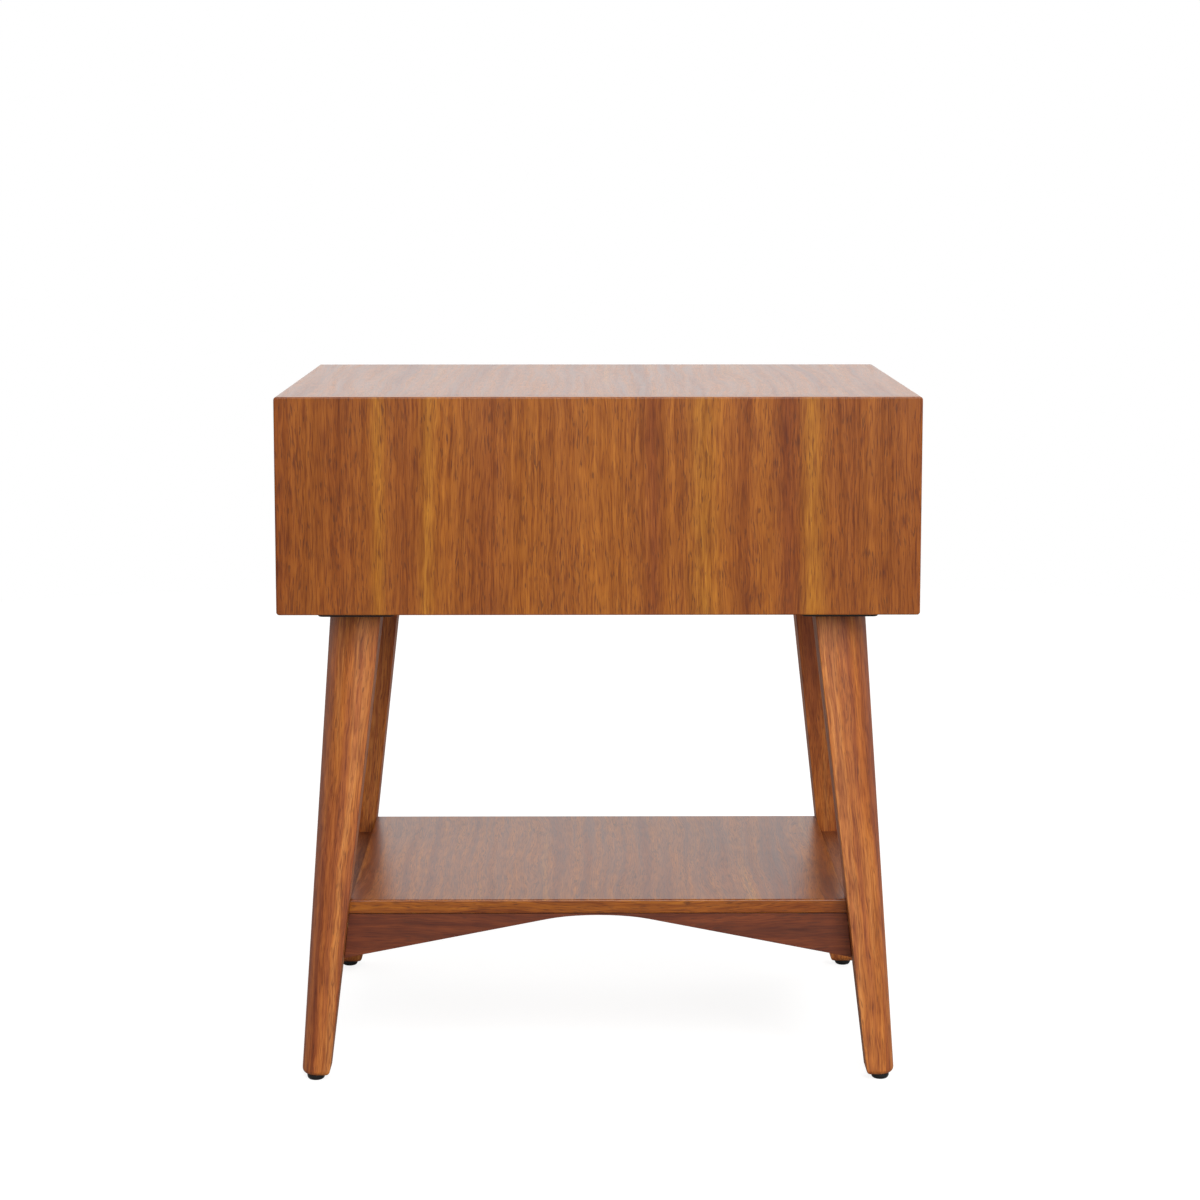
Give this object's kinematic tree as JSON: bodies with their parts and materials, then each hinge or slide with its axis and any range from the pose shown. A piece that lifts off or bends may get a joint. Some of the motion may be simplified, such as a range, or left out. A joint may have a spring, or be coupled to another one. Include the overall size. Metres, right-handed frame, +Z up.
{
  "type": "nightstand",
  "caption": "Mid-century nightstand: a wooden case with a sliding drawer on tapered splayed legs, with an open shelf low between them.",
  "frame": {"origin": "on the floor, under the middle of the whole object with its knobs, so the case's own middle is 12 mm behind it", "axes": "+Z up; the drawer opens towards -Y and the finished back faces +Y; X runs across the width"},
  "size_m": [0.521, 0.405, 0.572],
  "materials": {
    "veneer": "acacia veneer in strips of varied tone under satin lacquer",
    "solid_wood": "solid eucalyptus, fine streaks along the grain, satin lacquer",
    "drawer_wood": "pale plywood and solid wood, thin matt lacquer",
    "dowel_wood": "bare beech",
    "black_steel": "black powder coat",
    "zinc_steel": "bright zinc plating",
    "bronze": "satin light bronze",
    "black_plastic": "moulded black plastic, slightly glossy"
  },
  "bodies": {
    "case_and_base": {"top_panel": "veneer", "bottom_panel": "veneer", "back_panel": "veneer", "left_side_panel": "veneer", "right_side_panel": "veneer", "shelf_panel": "veneer", "left_side_rail": "solid_wood", "right_side_rail": "solid_wood", "front_apron": "solid_wood", "back_apron": "solid_wood", "left_case_rail": "zinc_steel", "right_case_rail": "zinc_steel", "front_left_leg": "solid_wood", "front_left_glide": "black_plastic", "front_left_leg_plate": "black_steel", "front_left_hanger_bolt": "zinc_steel", "front_left_plate_screw_a": "black_steel", "front_left_plate_screw_b": "black_steel", "front_left_apron_dowel": "dowel_wood", "front_left_rail_dowel": "dowel_wood", "front_right_leg": "solid_wood", "front_right_glide": "black_plastic", "front_right_leg_plate": "black_steel", "front_right_hanger_bolt": "zinc_steel", "front_right_plate_screw_a": "black_steel", "front_right_plate_screw_b": "black_steel", "front_right_apron_dowel": "dowel_wood", "front_right_rail_dowel": "dowel_wood", "back_left_leg": "solid_wood", "back_left_glide": "black_plastic", "back_left_leg_plate": "black_steel", "back_left_hanger_bolt": "zinc_steel", "back_left_plate_screw_a": "black_steel", "back_left_plate_screw_b": "black_steel", "back_left_apron_dowel": "dowel_wood", "back_left_rail_dowel": "dowel_wood", "back_right_leg": "solid_wood", "back_right_glide": "black_plastic", "back_right_leg_plate": "black_steel", "back_right_hanger_bolt": "zinc_steel", "back_right_plate_screw_a": "black_steel", "back_right_plate_screw_b": "black_steel", "back_right_apron_dowel": "dowel_wood", "back_right_rail_dowel": "dowel_wood"},
    "drawer": {"drawer_front": "veneer", "drawer_inner_front": "drawer_wood", "drawer_back": "drawer_wood", "drawer_bottom": "drawer_wood", "drawer_left_side": "drawer_wood", "drawer_right_side": "drawer_wood", "left_drawer_rail": "zinc_steel", "right_drawer_rail": "zinc_steel", "left_knob": "bronze", "right_knob": "bronze", "left_knob_screw": "zinc_steel", "right_knob_screw": "zinc_steel"},
    "left_slide_middle": {"left_middle_rail": "zinc_steel"},
    "right_slide_middle": {"right_middle_rail": "zinc_steel"}
  },
  "joints": [
    {"name": "drawer_slide", "type": "slide", "parent": "case_and_base", "child": "drawer", "axis": [0, -1, 0], "range_m": [0, 0.26]},
    {"name": "left_middle_slide", "type": "slide", "parent": "case_and_base", "child": "left_slide_middle", "axis": [0, -1, 0], "range_m": [0, 0.13]},
    {"name": "right_middle_slide", "type": "slide", "parent": "case_and_base", "child": "right_slide_middle", "axis": [0, -1, 0], "range_m": [0, 0.13]}
  ],
  "couplings": [
    {"joint": "left_middle_slide", "follows": "drawer_slide", "ratio": 0.5},
    {"joint": "right_middle_slide", "follows": "drawer_slide", "ratio": 0.5}
  ]
}
